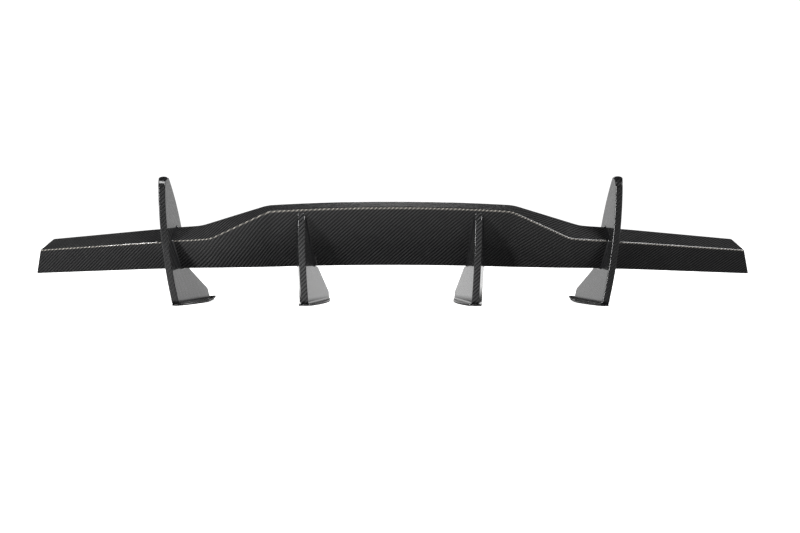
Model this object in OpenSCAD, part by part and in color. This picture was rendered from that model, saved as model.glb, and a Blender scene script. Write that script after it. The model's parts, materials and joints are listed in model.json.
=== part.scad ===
// Rear wing in carbon laminate: one three-piece blade on four flanged uprights.
// +X runs along the span, +Y from the blade's trailing edge forwards, +Z up.
// The origin is on the mounting plane, at mid span and at the middle of the wing's depth.

/* [Blade, plan and front view] */
// Half width of the raised centre, to its upper corner
centre_half_w = 229; // [215:1:240]
// Half width to the foot of the sloping shoulder
shoulder_half_w = 341; // [325:1:350]
// Half span, measured at the tip's trailing edge
tip_half_w = 697; // [640:1:720]
// Length over which each corner of the outline is rounded
corner_blend = 9; // [5:1:30]
// Where the blade starts to sweep forwards
sweep_mid = 350; // [340:1:370]
// Forward sweep of the arms, as a slope
sweep_slope = 0.29; // [0.1:0.01:0.4]

/* [Blade, heights] */
// Height of the trailing edge at mid span
edge_z = 187; // [180:1:200]
// Crown of the raised centre
crown = 7; // [0:1:12]
// Fall of the trailing edge along the shoulder, as a slope
edge_shoulder_fall = 0.465; // [0.4:0.005:0.5]
// Fall of the trailing edge along the arm, as a slope
edge_arm_fall = 0.063; // [0:0.001:0.08]
// Height of the crest at mid span
crest_z = 199; // [192:1:212]
// Fall of the crest along the shoulder, as a slope
crest_shoulder_fall = 0.299; // [0.25:0.001:0.33]
// Fall of the crest along the arm, as a slope
crest_arm_fall = 0.079; // [0:0.001:0.09]
// Height of the blade's lower edge at mid span
low_edge_z = 76; // [70:0.5:82]
// Crown of the lower edge over the raised centre
low_crown = 3.5; // [0:0.5:6]
// Fall of the lower edge along the shoulder, as a slope
low_shoulder_fall = 0.011; // [0:0.001:0.04]
// Fall of the lower edge along the arm, as a slope
low_arm_fall = 0.045; // [0:0.001:0.06]

/* [Blade, section] */
// Distance of the crest ahead of the trailing edge
crest_y = 34; // [28:1:38]
// Forward lean of the rear face at mid span, as run over drop
face_lean = 0.6; // [0.5:0.01:0.65]
// Forward lean of the rear face along the arms, as run over drop
arm_lean = 0.5; // [0.45:0.01:0.65]
// Thickness of the laminate
skin_t = 1.6; // [1.2:0.1:2]
// Thickness of the bond lines
bond_t = 0.5; // [0.4:0.1:0.8]

/* [Outer uprights] */
// Distance of each outer upright from mid span, at its top
outer_x = 432; // [425:0.5:435]
// Radius of the outer upright's outward bow
outer_bow_r = 1030; // [900:10:1600]
// Height of the outer upright
outer_h = 247; // [235:1:255]

/* [Inner uprights] */
// Distance of each inner upright from mid span, at its top
inner_x = 167.7; // [160:0.1:175]
// Radius of the inner upright's outward bow
inner_bow_r = 2300; // [1800:50:3000]
// Height of the inner upright
inner_h = 176; // [172:1:178]

/* [Upright section] */
// Thickness of an upright at its rear edge
edge_t = 13; // [12:0.5:15]
// Angle by which each side flares going forwards
flare = 8.5; // [6:0.5:9]
// Where the outboard side turns back in
turn_y = 75; // [70:1:80]
// Angle by which the outboard side turns back in
turn_angle = 9; // [8:0.5:10]

/* [Feet] */
// Thickness of a foot flange
flange_t = 2; // [1.5:0.5:3]
// Thickness of a foot gasket
gasket_t = 1.2; // [1:0.1:2]
// Distance between the two fixing holes of a foot
bolt_pitch = 90; // [80:1:100]
// Position of a foot's first fixing hole
first_bolt_y = 50; // [48:1:55]
// Radius of the clearance holes in flange and gasket, for an M6 bolt
clearance_r = 3.3; // [3.2:0.1:3.5]
// Thread core radius of the M6 inserts
thread_r = 2.5; // [2.4:0.05:2.6]
// Outer radius of the M6 inserts
insert_r = 4.2; // [4:0.1:4.4]
// Height of the hard points
hard_h = 14; // [12:1:16]
// Width of the hard points
hard_w = 11; // [10.5:0.5:11]

/* [Tip joints] */
// Outer radius of the joiner tube
joiner_r = 9; // [8:0.5:10]
// Wall of the joiner tube
joiner_wall = 1.5; // [1:0.5:2]
// Length of the joiner tube
joiner_len = 112; // [100:1:116]
// Radius of the joint bolts
bolt_r = 2.5; // [2:0.5:3]

/* [Hidden] */

carbon = [0.09, 0.09, 0.10];
foam = [0.80, 0.72, 0.55];
metal = [0.72, 0.73, 0.75];
steel = [0.55, 0.56, 0.58];
rubber = [0.05, 0.05, 0.05];
arc_steps = 10;
bow_fn = 360;
hole_fn = 32;

// ---- small helpers ----

// A ramp that is 0 before 0 and u after it, with a parabola of half length w between.
function ramp(u, w) = u <= -w ? 0 : u >= w ? u : (u + w) * (u + w) / (4 * w);

// Points inward of a polygon that runs counter-clockwise, by t.
function edge_normal(a, b) = let (d = b - a) [-d[1], d[0]] / norm(d);
function inset_point(a, p, b, t) =
    let (m = edge_normal(a, p), n = edge_normal(p, b))
    p + (m + n) * t / (1 + m * n);
function inset(points, t) =
    let (c = len(points))
    [for (i = [0:c - 1]) inset_point(points[(i + c - 1) % c], points[i], points[(i + 1) % c], t)];

function reversed(v) = [for (i = [len(v) - 1:-1:0]) v[i]];

// A round stretch of an outline from angle a to angle b.
function arc(centre, r, a, b) =
    [for (i = [0:arc_steps]) centre + r * [cos(a + (b - a) * i / arc_steps), sin(a + (b - a) * i / arc_steps)]];

// A shallow bow from p to q that bulges to the right of the way from p to q.
function bow(p, q, bulge) =
    let (d = q - p, side = [d[1], -d[0]] / norm(d))
    [for (i = [0:arc_steps]) let (s = i / arc_steps) p + d * s + side * bulge * 4 * s * (1 - s)];

// A closed solid through rings of equal count, each counter-clockwise seen from the last one's side.
// Every side patch is split about its own middle, so that a skin and its core meet face to face.
// The ends of a skin, whose ring runs out along one face and back along the other, are strips.
module loft(rings, skin = false) {
    count = len(rings[0]);
    last = len(rings) - 1;
    corners = [for (r = rings) each r];
    patches = [
        for (k = [0:last - 1])
        for (i = [0:count - 1])
        let (a = k * count + i, b = k * count + (i + 1) % count)
        [a, a + count, b + count, b]
    ];
    middles = [for (q = patches) (corners[q[0]] + corners[q[1]] + corners[q[2]] + corners[q[3]]) / 4];
    sides = [
        for (m = [0:len(patches) - 1])
        for (j = [0:3])
        [patches[m][j], patches[m][(j + 1) % 4], len(corners) + m]
    ];
    ring = [for (i = [0:count - 1]) i];
    strips = [for (i = [0:count / 2 - 2]) [i, i + 1, count - 2 - i, count - 1 - i]];
    starts = skin ? strips : [ring];
    ends = [for (face = starts) [for (i = reversed(face)) last * count + i]];
    polyhedron(concat(corners, middles), concat(starts, sides, ends), convexity = 6);
}

// Pieces are drawn with Y counted from the uprights' rear edges; this moves them into the wing's frame.
module in_frame() {
    translate([0, -(reach + flange_point) / 2, 0])
        children();
}

module on_side(side) {
    if (side < 0)
        mirror([1, 0, 0]) children();
    else
        children();
}

// ---- blade ----

shoulder_crest_w = centre_half_w + 7;
arm_crest_w = shoulder_half_w + 23;
low_break_w = shoulder_half_w + 79;
sweep_blend = 110;

function sweep(x) = sweep_slope * ramp(x - sweep_mid, sweep_blend);
function crowned(x, half) = crown * pow(min(x, half) / half, 2);
function edge_height(x) =
    edge_z - crowned(x, centre_half_w)
    - edge_shoulder_fall * (ramp(x - centre_half_w, corner_blend) - ramp(x - shoulder_half_w, corner_blend))
    - edge_arm_fall * ramp(x - shoulder_half_w, corner_blend);
function crest_height(x) =
    crest_z - crowned(x, shoulder_crest_w)
    - crest_shoulder_fall * (ramp(x - shoulder_crest_w, corner_blend) - ramp(x - arm_crest_w, corner_blend))
    - crest_arm_fall * ramp(x - arm_crest_w, corner_blend);
function low_height(x) =
    low_edge_z - low_crown * pow(min(x, centre_half_w) / centre_half_w, 2)
    - low_shoulder_fall * ramp(x - centre_half_w, corner_blend)
    - (low_arm_fall - low_shoulder_fall) * ramp(x - low_break_w, corner_blend);
function lean(x) =
    face_lean - (face_lean - arm_lean) * min(1, max(0, x - centre_half_w) / (shoulder_half_w - centre_half_w));
function face_y(x, z) = sweep(x) + lean(x) * (edge_height(x) - z);

// The blade's section at x, counter-clockwise seen from the tip: trailing edge,
// lower edge, two points round the lower front, front, then the crest.
function section(x) =
    let (
        te = [sweep(x), edge_height(x)],
        low = [face_y(x, low_height(x)), low_height(x)],
        crest = [sweep(x) + crest_y, crest_height(x)],
        front_top = crest + [13, -3],
        front_low = low + [28, 9]
    )
    [te, low, low + [20, 1], front_low, (front_low + front_top) / 2 + [5, 1], front_top, crest];

// The tip is cut on a slant: slopes of its end plane, reached gradually along the arm.
tip_plane = [-0.2, -0.43];
function rake(x, d) = tip_plane * d * max(0, (x - tip_rib_x) / (tip_half_w - tip_rib_x));

te_i = 0;
front_i = 3;
rear_skin_ids = [te_i, 1, 2, front_i];
top_skin_ids = [front_i, 4, 5, 6, te_i];
all_ids = [0, 1, 2, 3, 4, 5, 6];

function ring_at(x, pts, ids) =
    let (te = [sweep(x), edge_height(x)])
    [for (i = ids) [x + rake(x, pts[i] - te), pts[i][0], pts[i][1]]];
function skin_ring(x, ids) =
    let (outer = section(x), inner = inset(outer, skin_t))
    concat(ring_at(x, outer, ids), reversed(ring_at(x, inner, ids)));
function core_ring(x) = ring_at(x, inset(section(x), skin_t), all_ids);

// Where a bowed upright stands at height z, and its slope there.
function bow_x(x_top, r, top_z, z) = x_top - r + sqrt(r * r - pow(z - top_z, 2));
bow_top_z = 230;
joint_z = 110;
joint_half_h = 42;
joint_slope = (bow_x(outer_x, outer_bow_r, bow_top_z, joint_z + joint_half_h)
    - bow_x(outer_x, outer_bow_r, bow_top_z, joint_z - joint_half_h)) / (2 * joint_half_h);

// Flat ends of the blade's sections: a chord inside the hollow face and a tangent on the round one.
chord_x = bow_x(outer_x, outer_bow_r, bow_top_z, joint_z + joint_half_h) - joint_slope * joint_half_h;
tangent_x = bow_x(outer_x, outer_bow_r, bow_top_z, joint_z) + 0.1;
function inboard_end_x(y, z) = chord_x + joint_slope * (z - joint_z) - edge_t / 2 - y * tan(flare) - bond_t;
function outboard_end_x(y, z) = tangent_x + joint_slope * (z - joint_z) + edge_t / 2 + y * tan(flare) + bond_t;

// A ring moved along the span until it lies on such an end.
function onto_inboard(ring) = [for (p = ring) [inboard_end_x(p[1], p[2]), p[1], p[2]]];
function onto_outboard(ring) = [for (p = ring) [outboard_end_x(p[1], p[2]), p[1], p[2]]];

function mirrored(ring) = [for (p = ring) [-p[0], p[1], p[2]]];

joint_in_x = 410;
joint_out_x = 440;
centre_rib_x = 378;
tip_rib_x = 468;
half_stations = [
    0, centre_half_w / 2, centre_half_w - corner_blend, centre_half_w, centre_half_w + corner_blend,
    (centre_half_w + shoulder_half_w) / 2, shoulder_half_w - corner_blend, shoulder_half_w,
    shoulder_half_w + corner_blend, arm_crest_w, centre_rib_x
];
cap_t = 3;
tip_stations = [tip_rib_x, tip_half_w - cap_t, tip_half_w];

module centre_skin(ids) {
    end = onto_inboard(skin_ring(joint_in_x, ids));
    right = concat([for (x = half_stations) skin_ring(x, ids)], [end]);
    left = [for (i = [len(right) - 1:-1:1]) mirrored(right[i])];
    loft(concat(left, right), skin = true);
}

module tip_skin(ids) {
    root = onto_outboard(skin_ring(joint_out_x, ids));
    loft(concat([root], [for (x = tip_stations) skin_ring(x, ids)]), skin = true);
}

screw_zs = [120, 96];
face_angle = atan(face_lean);

// Frame of an inner upright's screws: +Z out of the rear face towards the upright.
module at_face(z) {
    translate([inner_x - 2, face_y(inner_x, z), z])
        rotate([90 + face_angle, 0, 0])
            children();
}

module screw_holes(r) {
    for (side = [-1, 1])
        on_side(side)
            for (z = screw_zs)
                at_face(z)
                    cylinder(r = r, h = 40, center = true, $fn = hole_fn);
}

module centre_rear_skin() {
    color(carbon)
        in_frame()
            difference() {
                centre_skin(rear_skin_ids);
                screw_holes(bolt_r);
            }
}

module centre_top_skin() {
    color(carbon) in_frame() centre_skin(top_skin_ids);
}

plate_w = 22;
plate_l = 56;
plate_t = 3;
pocket_depth = 12;

module centre_core() {
    right = [for (i = [0:3]) core_ring(half_stations[i])];
    left = [for (i = [3:-1:1]) mirrored(right[i])];
    color(foam)
        in_frame()
            difference() {
                loft(concat(left, right));
                for (side = [-1, 1])
                    on_side(side)
                        at_face((screw_zs[0] + screw_zs[1]) / 2)
                            translate([0, 0, -pocket_depth / 2])
                                cube([plate_w + 2, plate_l + 2, pocket_depth], center = true);
            }
}

module shoulder_core(side) {
    color(foam)
        in_frame()
            on_side(side)
                difference() {
                    loft([for (i = [3:9]) core_ring(half_stations[i])]);
                    joint_pockets();
                }
}

module tip_rear_skin(side) {
    color(carbon) in_frame() on_side(side) tip_skin(rear_skin_ids);
}

module tip_top_skin(side) {
    color(carbon) in_frame() on_side(side) tip_skin(top_skin_ids);
}

module tip_core(side) {
    color(foam)
        in_frame()
            on_side(side)
                difference() {
                    loft([core_ring(tip_rib_x), core_ring(tip_half_w - cap_t)]);
                    joint_pockets();
                }
}

module tip_end_cap(side) {
    color(carbon) in_frame() on_side(side) loft([core_ring(tip_half_w - cap_t), core_ring(tip_half_w)]);
}

// ---- tip joints ----

joiner_y = 56;
joiner_z = 107;
joiner_turn = 12;
joint_bolt_yz = [[58.5, 124], [59.5, 86]];
joint_bolt_len = 96;
head_r = 4.6;
head_h = 5;
nut_h = 4;
joint_mid_x = (centre_rib_x + tip_rib_x) / 2;

module at_joiner() {
    translate([outer_x, joiner_y, joiner_z])
        rotate([0, 0, joiner_turn])
            rotate([0, 90, 0])
                children();
}

module at_joint_bolts() {
    for (p = joint_bolt_yz)
        translate([joint_mid_x, p[0], p[1]])
            rotate([0, 90, 0])
                children();
}

module joint_holes() {
    at_joiner() cylinder(r = joiner_r, h = joiner_len + 40, center = true, $fn = hole_fn);
    at_joint_bolts() cylinder(r = bolt_r, h = joint_bolt_len + 40, center = true, $fn = hole_fn);
}

// Room in the cores for the tube's ends, the bolt heads and the nuts.
module joint_pockets() {
    pocket_h = 2 * head_h + 4;
    joint_holes();
    at_joint_bolts()
        for (end = [-1, 1])
            translate([0, 0, end * (tip_rib_x - centre_rib_x) / 2])
                cylinder(r = head_r + 1.5, h = pocket_h, center = true, $fn = hole_fn);
}

module centre_rib(side) {
    color(foam)
        in_frame() on_side(side)
            difference() {
                loft([core_ring(centre_rib_x), onto_inboard(core_ring(joint_in_x))]);
                joint_holes();
            }
}

module tip_rib(side) {
    color(foam)
        in_frame() on_side(side)
            difference() {
                loft([onto_outboard(core_ring(joint_out_x)), core_ring(tip_rib_x)]);
                joint_holes();
            }
}

module joiner_tube(side) {
    color(carbon)
        in_frame() on_side(side)
            at_joiner()
                difference() {
                    cylinder(r = joiner_r, h = joiner_len, center = true, $fn = hole_fn);
                    cylinder(r = joiner_r - joiner_wall, h = joiner_len + 2, center = true, $fn = hole_fn);
                }
}

module joint_bolts() {
    grip = tip_rib_x - centre_rib_x;
    color(steel)
        for (side = [-1, 1])
            in_frame() on_side(side)
                at_joint_bolts() {
                    translate([0, 0, -grip / 2]) cylinder(r = bolt_r, h = grip + nut_h + 1, $fn = hole_fn);
                    translate([0, 0, -grip / 2 - head_h]) cylinder(r = head_r, h = head_h, $fn = 6);
                }
}

module joint_nuts() {
    grip = tip_rib_x - centre_rib_x;
    color(steel)
        for (side = [-1, 1])
            in_frame() on_side(side)
                at_joint_bolts()
                    translate([0, 0, grip / 2])
                        difference() {
                            cylinder(r = head_r, h = nut_h, $fn = 6);
                            translate([0, 0, -1]) cylinder(r = bolt_r, h = nut_h + 2, $fn = hole_fn);
                        }
}

// ---- uprights ----

foot_z = gasket_t + flange_t;
reach = 180;
flange_point = 15;
toe_z = 26;
top_r = 25;
heel_r = 6;
split_angle = 3;
prism_w = 160;

// Side outline of an outer upright, counter-clockwise: foot, front edge, top, rear edge.
outer_outline = concat(
    [[heel_r, foot_z], [reach, foot_z], [reach, toe_z]],
    bow([88, 73], [23, outer_h - 5], 20),
    arc([top_r, outer_h - top_r], top_r, 105, 180),
    [[0, foot_z + heel_r]]
);

// Side outline of an inner upright: its top follows the blade's rear face and underside.
under_z = low_height(inner_x + 22) - 1.5;
face_gap = 1.2;
face_low_y = face_y(inner_x, under_z) - face_gap;
face_top_y = face_y(inner_x, inner_h) - face_gap;
inner_top_r = 18;
inner_outline = concat(
    [[heel_r, foot_z], [reach, foot_z], [reach, toe_z - 6], [99, under_z], [face_low_y, under_z]],
    [[face_top_y + 1, inner_h - 2]],
    arc([inner_top_r, inner_h - inner_top_r], inner_top_r, 140, 180),
    [[0, foot_z + heel_r]]
);

// One upright: outline, distance from mid span, bow radius and the height where the bow is widest.
outer_kind = [outer_outline, outer_x, outer_bow_r, bow_top_z];
inner_kind = [inner_outline, inner_x, inner_bow_r, inner_h];

// Solid inside a bowed side face that passes x at the bow's widest height.
module inside_face(kind, x, turn, pivot_y) {
    translate([x, pivot_y, kind[3]])
        rotate([0, 0, turn])
            translate([-kind[2], 0, 0])
                rotate([90, 0, 0])
                    cylinder(r = kind[2], h = 4 * reach, center = true, $fn = bow_fn);
}

// An upright's outer form, drawn in by t on every side.
module upright_form(kind, t) {
    half = edge_t / 2 - t;
    difference() {
        intersection() {
            translate([kind[1] - prism_w / 2, 0, 0])
                rotate([90, 0, 90])
                    linear_extrude(prism_w)
                        polygon(inset(kind[0], t));
            inside_face(kind, kind[1] + half, -flare, 0);
            inside_face(kind, kind[1] + half + turn_y * tan(flare), turn_angle, turn_y);
        }
        inside_face(kind, kind[1] - half, flare, 0);
    }
}

module upright_shell(kind) {
    difference() {
        upright_form(kind, 0);
        upright_form(kind, skin_t);
        at_fixings(kind) cylinder(r = clearance_r, h = 2 * (foot_z + skin_t), center = true, $fn = hole_fn);
        if (kind == outer_kind)
            joint_holes();
        else
            screw_holes(bolt_r);
    }
}

module outboard_skin(kind, side) {
    color(carbon)
        in_frame() on_side(side)
            difference() {
                upright_shell(kind);
                inside_face(kind, kind[1], split_angle, 0);
            }
}

module inboard_skin(kind, side) {
    color(carbon)
        in_frame() on_side(side)
            intersection() {
                upright_shell(kind);
                inside_face(kind, kind[1], split_angle, 0);
            }
}

// Where an upright's fixings stand, so that the hard point lies inside its walls.
function fixing_x(kind) = round(bow_x(kind[1], kind[2], kind[3], 0)) - (kind == outer_kind ? 1 : 3);

module hard_point_block(kind) {
    translate([fixing_x(kind) - hard_w / 2, first_bolt_y - 6, foot_z + skin_t])
        cube([hard_w, bolt_pitch + 12, hard_h]);
}

module at_fixings(kind) {
    for (k = [0, 1])
        translate([fixing_x(kind), first_bolt_y + k * bolt_pitch, 0])
            children();
}

block_w = 9;
block_depth = 16;

module nut_block_form() {
    at_face((screw_zs[0] + screw_zs[1]) / 2)
        translate([0, 0, face_gap + skin_t + block_depth / 2])
            cube([block_w, plate_l - 8, block_depth], center = true);
}

module upright_core(kind, side) {
    color(foam)
        in_frame() on_side(side)
            difference() {
                upright_form(kind, skin_t);
                hard_point_block(kind);
                if (kind == outer_kind) {
                    joint_holes();
                } else {
                    nut_block_form();
                    screw_holes(bolt_r);
                }
            }
}

module hard_point(kind, side) {
    color(metal)
        in_frame() on_side(side)
            difference() {
                hard_point_block(kind);
                at_fixings(kind) cylinder(r = insert_r, h = 3 * hard_h, center = true, $fn = hole_fn);
            }
}

// Plan outline of a foot: the upright's footprint and a lens-shaped flange.
function foot_plan(kind, out_w, in_w, point) =
    let (x = bow_x(kind[1], kind[2], kind[3], 0), half = edge_t / 2)
    concat(
        bow([x + half + out_w, 2], [x + out_w - 1, reach], 9),
        [[x + point[0] + 8, reach + 6]],
        bow([x, 0] + point, [x - half - in_w, 6], 9),
        arc([x, half], half, 190, 350)
    );

module foot_layer(kind, z, t) {
    plan = kind == outer_kind ? foot_plan(kind, 1, 2, [-41, reach + flange_point]) : foot_plan(kind, 5, 6, [-34, reach + 6]);
    translate([0, 0, z])
        linear_extrude(t)
            polygon(plan);
}

module flange(kind, side) {
    color(carbon)
        in_frame() on_side(side)
            difference() {
                foot_layer(kind, gasket_t, flange_t);
                at_fixings(kind) cylinder(r = clearance_r, h = 3 * hard_h, center = true, $fn = hole_fn);
            }
}

module gasket(kind, side) {
    color(rubber)
        in_frame() on_side(side)
            difference() {
                foot_layer(kind, 0, gasket_t);
                at_fixings(kind) cylinder(r = clearance_r, h = 3 * hard_h, center = true, $fn = hole_fn);
            }
}

module nut_block(side) {
    color(metal)
        in_frame() on_side(side)
            difference() {
                nut_block_form();
                screw_holes(bolt_r);
            }
}

module backing_plate(side) {
    color(metal)
        in_frame() on_side(side)
            difference() {
                at_face((screw_zs[0] + screw_zs[1]) / 2)
                    translate([0, 0, -skin_t - bond_t - plate_t / 2])
                        cube([plate_w, plate_l, plate_t], center = true);
                screw_holes(bolt_r);
            }
}

module upright_screws() {
    seat = skin_t + bond_t + plate_t;
    color(steel)
        for (side = [-1, 1])
            in_frame() on_side(side)
                for (z = screw_zs)
                    at_face(z) {
                        translate([0, 0, -seat]) cylinder(r = bolt_r, h = seat + 16, $fn = hole_fn);
                        translate([0, 0, -seat - nut_h]) cylinder(r = head_r, h = nut_h, $fn = hole_fn);
                    }
}

module threaded_inserts() {
    color(steel)
        for (side = [-1, 1])
            in_frame() on_side(side)
                for (kind = [outer_kind, inner_kind])
                    at_fixings(kind)
                        translate([0, 0, foot_z + skin_t])
                            difference() {
                                cylinder(r = insert_r, h = hard_h, $fn = hole_fn);
                                translate([0, 0, -1]) cylinder(r = thread_r, h = hard_h + 2, $fn = hole_fn);
                            }
}

centre_rear_skin();
centre_top_skin();
centre_core();
shoulder_core(-1);  // left_shoulder_core
shoulder_core(1);  // right_shoulder_core
tip_rear_skin(-1);  // left_tip_rear_skin
tip_top_skin(-1);  // left_tip_top_skin
tip_core(-1);  // left_tip_core
tip_end_cap(-1);  // left_tip_end_cap
tip_rear_skin(1);  // right_tip_rear_skin
tip_top_skin(1);  // right_tip_top_skin
tip_core(1);  // right_tip_core
tip_end_cap(1);  // right_tip_end_cap
centre_rib(-1);  // left_centre_rib
centre_rib(1);  // right_centre_rib
tip_rib(-1);  // left_tip_rib
tip_rib(1);  // right_tip_rib
joiner_tube(-1);  // left_joiner_tube
joiner_tube(1);  // right_joiner_tube
joint_bolts();
joint_nuts();
outboard_skin(outer_kind, -1);  // outer_left_outboard_skin
inboard_skin(outer_kind, -1);  // outer_left_inboard_skin
upright_core(outer_kind, -1);  // outer_left_core
flange(outer_kind, -1);  // outer_left_flange
hard_point(outer_kind, -1);  // outer_left_hard_point
gasket(outer_kind, -1);  // outer_left_gasket
outboard_skin(outer_kind, 1);  // outer_right_outboard_skin
inboard_skin(outer_kind, 1);  // outer_right_inboard_skin
upright_core(outer_kind, 1);  // outer_right_core
flange(outer_kind, 1);  // outer_right_flange
hard_point(outer_kind, 1);  // outer_right_hard_point
gasket(outer_kind, 1);  // outer_right_gasket
outboard_skin(inner_kind, -1);  // inner_left_outboard_skin
inboard_skin(inner_kind, -1);  // inner_left_inboard_skin
upright_core(inner_kind, -1);  // inner_left_core
flange(inner_kind, -1);  // inner_left_flange
hard_point(inner_kind, -1);  // inner_left_hard_point
gasket(inner_kind, -1);  // inner_left_gasket
outboard_skin(inner_kind, 1);  // inner_right_outboard_skin
inboard_skin(inner_kind, 1);  // inner_right_inboard_skin
upright_core(inner_kind, 1);  // inner_right_core
flange(inner_kind, 1);  // inner_right_flange
hard_point(inner_kind, 1);  // inner_right_hard_point
gasket(inner_kind, 1);  // inner_right_gasket
nut_block(-1);  // inner_left_nut_block
nut_block(1);  // inner_right_nut_block
backing_plate(-1);  // inner_left_backing_plate
backing_plate(1);  // inner_right_backing_plate
upright_screws();
threaded_inserts();
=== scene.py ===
"""Looks of the rear wing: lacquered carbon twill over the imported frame, in plain soft studio light."""
import json
import math

import bpy
import numpy as np
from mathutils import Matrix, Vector


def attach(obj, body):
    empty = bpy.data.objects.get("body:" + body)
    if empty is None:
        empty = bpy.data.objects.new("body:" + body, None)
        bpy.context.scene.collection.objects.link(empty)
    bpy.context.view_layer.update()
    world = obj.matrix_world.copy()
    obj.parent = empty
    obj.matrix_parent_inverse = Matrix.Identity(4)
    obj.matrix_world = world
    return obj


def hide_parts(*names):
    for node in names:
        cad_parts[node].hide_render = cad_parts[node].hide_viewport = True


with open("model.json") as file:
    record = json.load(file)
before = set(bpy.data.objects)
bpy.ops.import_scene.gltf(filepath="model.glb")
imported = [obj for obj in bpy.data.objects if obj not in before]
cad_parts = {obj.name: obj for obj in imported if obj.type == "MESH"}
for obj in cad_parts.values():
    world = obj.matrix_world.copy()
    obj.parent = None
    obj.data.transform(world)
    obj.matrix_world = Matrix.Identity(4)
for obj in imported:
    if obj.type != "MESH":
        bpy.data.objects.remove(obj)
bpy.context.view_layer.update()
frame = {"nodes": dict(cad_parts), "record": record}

# ---- the wing's own sizes, in millimetres, y counted forwards from the uprights' rear edges ----

MM = 0.001
MID_Y = 97.5
SIDES = (("left", -1), ("right", 1))

# the blade's plan and front view
CENTRE_HALF = 229
SHOULDER_HALF = 341
TIP_HALF = 697
CORNER = 9
CREST_SHOULDER = 236
CREST_ARM = 364
LOW_BREAK = 420
SWEEP_MID = 350
SWEEP_SLOPE = 0.29
SWEEP_BLEND = 110

# the blade's heights, crowns and slopes
EDGE_Z = 187
CREST_Z = 199
LOW_Z = 76
CROWN = 7
LOW_CROWN = 3.5
EDGE_SHOULDER_FALL = 0.465
EDGE_ARM_FALL = 0.063
CREST_SHOULDER_FALL = 0.299
CREST_ARM_FALL = 0.079
LOW_SHOULDER_FALL = 0.011
LOW_ARM_FALL = 0.045

# the blade's section: steps in (y, z) from its lowest edge or its crest to the next corner
CREST_Y = 34
FACE_LEAN = 0.6
ARM_LEAN = 0.5
LOW_FLAT = (20, 1)
FRONT_LOW = (28, 9)
FRONT_TOP = (13, -3)
FRONT_BULGE = (5, 1)

# the slanted tips, and where the centre and the tips meet the outer uprights
TIP_RIB_X = 468
TIP_PLANE = np.array([-0.2, -0.43])
CENTRE_END_X = 408
TIP_ROOT_X = 445
SUNK = 1.5

# the uprights: bowed in front view, with faces that flare, and turn back outboard
OUTER = {"x": 432, "bow_r": 1030, "top_z": 230}
INNER = {"x": 167.7, "bow_r": 2300, "top_z": 176}
OUTER_TOP = 246.15
INNER_TOP = 177.6
EDGE_HALF = 6.5
FLARE = math.radians(8.5)
TURN = math.radians(9)
TURN_Y = 75
TURN_BLEND = 1.6
REACH = 180

# rims, domed tops, rear edges and hollows above the feet. The rear-edge shade table caps the edge-mark
# value in an upright's first columns: below 0 it darkens them with painted shade, and 1 leaves them as
# they are.
ROUND = 1.8
RIM_SHARE = 0.42
FACE_COLUMNS = 16
DOME = {"outer": 4.0, "inner": 7.0}
REAR_EDGE_SHADE = {"outer": -0.75, "inner": 1.0}
REAR_EDGE_SHADE_COLUMNS = 4
FILLET = {"outer": 8.0, "inner": 3.0}
FOOT_MARGIN = 0.6

# feet, skins and resin
FOOT_Z = 3.2
GASKET_T = 1.2
FOOT_BEVEL = 0.6
GASKET_BEVEL = 0.25
FOOT_LIFT = {"outer": 7.0, "inner": 3.0}
LIFT_START = 115
LIFT_RUN = REACH + 15 - LIFT_START
SKIN_T = 1.5
FULL_SKIN_WIDTH = 14
BEAD = 4.0
BEAD_T = 0.5
BEAD_TOP = 172


def ramp(u, w):
    """0 before 0 and u after it, with a parabola of half length w between."""
    return np.where(u <= -w, 0, np.where(u >= w, u, (u + w) ** 2 / (4 * w)))


# ---- outlines ----


def round_corner(before, corner, after, radius, steps):
    """Points of the arc that rounds one corner of an outline."""
    before, corner, after = (np.asarray(p, float) for p in (before, corner, after))
    a, b = before - corner, after - corner
    len_a, len_b = np.linalg.norm(a), np.linalg.norm(b)
    a, b = a / len_a, b / len_b
    half = 0.5 * math.acos(np.clip(a @ b, -1, 1))
    if half > math.radians(89.5):
        return [corner + a * (1 - s) + b * s for s in np.linspace(0, 1, steps)]
    reach = min(radius / math.tan(half), 0.45 * len_a, 0.45 * len_b)
    radius = reach * math.tan(half)
    middle = corner + (a + b) / np.linalg.norm(a + b) * radius / math.sin(half)
    start, end = corner + a * reach - middle, corner + b * reach - middle
    total = math.pi - 2 * half
    return [
        middle + (math.sin(total * (1 - s)) * start + math.sin(total * s) * end) / math.sin(total)
        for s in np.linspace(0, 1, steps)
    ]


def rounded(corners, radii, pieces, steps):
    """A closed outline with each corner rounded and each straight stretch cut into even pieces."""
    count = len(corners)
    arcs = [
        round_corner(corners[i - 1], corners[i], corners[(i + 1) % count], radii[i], steps)
        for i in range(count)
    ]
    points = []
    for i, arc in enumerate(arcs):
        step = (arcs[(i + 1) % count][0] - arc[-1]) / pieces[i]
        points += arc + [arc[-1] + step * k for k in range(1, pieces[i])]
    return np.array(points)


def bowed(start, end, bulge, steps):
    """A shallow bow from start to end that bulges to the right of the way."""
    start, end = np.array(start, float), np.array(end, float)
    d = end - start
    side = np.array([d[1], -d[0]]) / np.linalg.norm(d)
    return [start + d * s + side * bulge * 4 * s * (1 - s) for s in np.linspace(0, 1, steps)]


# ---- meshes ----


def grid_normals(grid):
    """Area-weighted unit normals of a grid, on the side of column direction x row direction."""
    cell = np.cross(grid[1:, 1:] - grid[:-1, :-1], grid[1:, :-1] - grid[:-1, 1:])
    total = np.zeros_like(grid)
    for rows in (slice(None, -1), slice(1, None)):
        for cols in (slice(None, -1), slice(1, None)):
            total[rows, cols] += cell
    return total / np.maximum(np.linalg.norm(total, axis=2, keepdims=True), 1e-9)


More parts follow.
